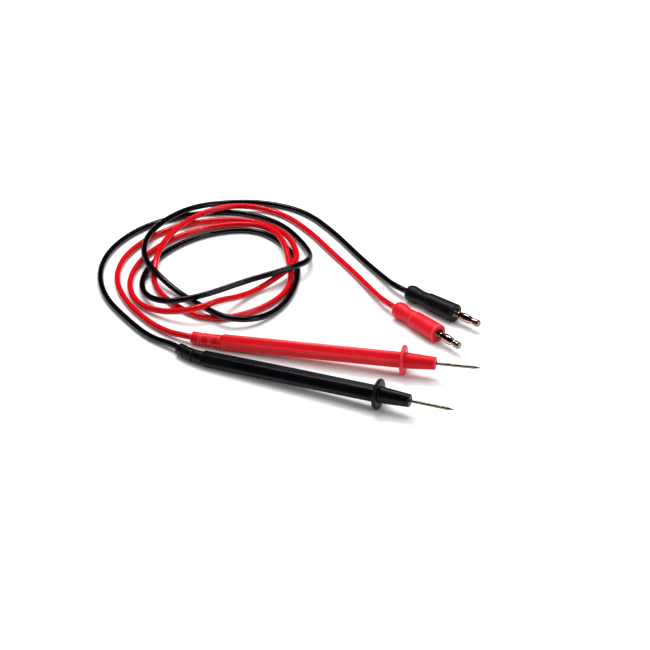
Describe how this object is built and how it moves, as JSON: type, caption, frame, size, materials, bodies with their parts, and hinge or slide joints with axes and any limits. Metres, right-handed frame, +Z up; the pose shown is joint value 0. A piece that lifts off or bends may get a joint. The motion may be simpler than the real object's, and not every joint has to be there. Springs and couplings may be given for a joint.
{
  "type": "multimeter test leads",
  "caption": "Pair of test leads for a digital multimeter: faceted probes with finger guards and needle tips, coiled flexible cords and lantern banana plugs.",
  "frame": {"origin": "on the table, under the middle of the box round the two probes and the two plugs, cords left out", "axes": "+Z up from the table; +X to the side the probe tips and plug pins point to; +Y away from the probes, towards the coil"},
  "size_m": [0.2099, 0.2302, 0.0158],
  "materials": {
    "red_shell": "moulded, light satin gloss",
    "red_boot": "soft PVC, semi-gloss",
    "red_sleeve": "soft moulded PVC, semi-gloss",
    "red_jacket": "extruded PVC, glossy",
    "black_shell": "moulded, light satin gloss",
    "black_boot": "soft PVC, semi-gloss",
    "black_sleeve": "soft moulded PVC, semi-gloss",
    "black_jacket": "extruded PVC, glossy",
    "plated_brass": "turned brass, bright nickel plating",
    "spring_metal": "spring bronze sheet, nickel plated",
    "zinc_steel": "zinc-plated steel",
    "solder": "bright tin solder",
    "tinned_copper": "tinned copper strands"
  },
  "bodies": {
    "leads": {"red_handle": "red_shell", "red_boot": "red_boot", "red_tip_pin": "plated_brass", "red_solder_joint": "solder", "red_probe_wire": "tinned_copper", "red_probe_cord_end": "red_jacket", "red_cord": "red_jacket", "red_plug_cord_end": "red_jacket", "red_plug_wire": "tinned_copper", "red_plug_core": "plated_brass", "red_plug_nose": "plated_brass", "black_handle": "black_shell", "black_boot": "black_boot", "black_tip_pin": "plated_brass", "black_solder_joint": "solder", "black_probe_wire": "tinned_copper", "black_probe_cord_end": "black_jacket", "black_cord": "black_jacket", "black_plug_cord_end": "black_jacket", "black_plug_wire": "tinned_copper", "black_plug_core": "plated_brass", "black_plug_nose": "plated_brass"},
    "red_nose": {"red_nose_guard": "red_shell"},
    "red_sleeve": {"red_plug_sleeve": "red_sleeve"},
    "red_spring": {"red_contact_spring": "spring_metal"},
    "red_screw": {"red_clamp_screw": "zinc_steel"},
    "black_nose": {"black_nose_guard": "black_shell"},
    "black_sleeve": {"black_plug_sleeve": "black_sleeve"},
    "black_spring": {"black_contact_spring": "spring_metal"},
    "black_screw": {"black_clamp_screw": "zinc_steel"}
  },
  "joints": [
    {"name": "red_nose_off", "type": "slide", "parent": "leads", "child": "red_nose", "axis": [0.97, -0.2401, 0.0379], "range_m": [0, 0.052]},
    {"name": "red_sleeve_back", "type": "slide", "parent": "leads", "child": "red_sleeve", "axis": [-0.6293, 0.7771, -0.0122], "range_m": [0, 0.008]},
    {"name": "red_spring_spin", "type": "hinge", "parent": "leads", "child": "red_spring", "pos_m": [0.06143, 0.00954, 0.0051], "axis": [0.6293, -0.7771, 0.0122], "continuous": true},
    {"name": "red_screw_turn", "type": "hinge", "parent": "leads", "child": "red_screw", "pos_m": [0.05426, 0.0184, 0.00496], "axis": [-0.0077, 0.0095, 0.9999], "range_deg": [0, 720]},
    {"name": "black_nose_off", "type": "slide", "parent": "leads", "child": "black_nose", "axis": [0.9159, -0.3992, 0.0416], "range_m": [0, 0.052]},
    {"name": "black_sleeve_back", "type": "slide", "parent": "leads", "child": "black_sleeve", "axis": [-0.7253, 0.6883, -0.0122], "range_m": [0, 0.008]},
    {"name": "black_spring_spin", "type": "hinge", "parent": "leads", "child": "black_spring", "pos_m": [0.07239, 0.0304, 0.0051], "axis": [0.7253, -0.6883, 0.0122], "continuous": true},
    {"name": "black_screw_turn", "type": "hinge", "parent": "leads", "child": "black_screw", "pos_m": [0.06412, 0.03825, 0.00496], "axis": [-0.0088, 0.0084, 0.9999], "range_deg": [0, 720]}
  ]
}
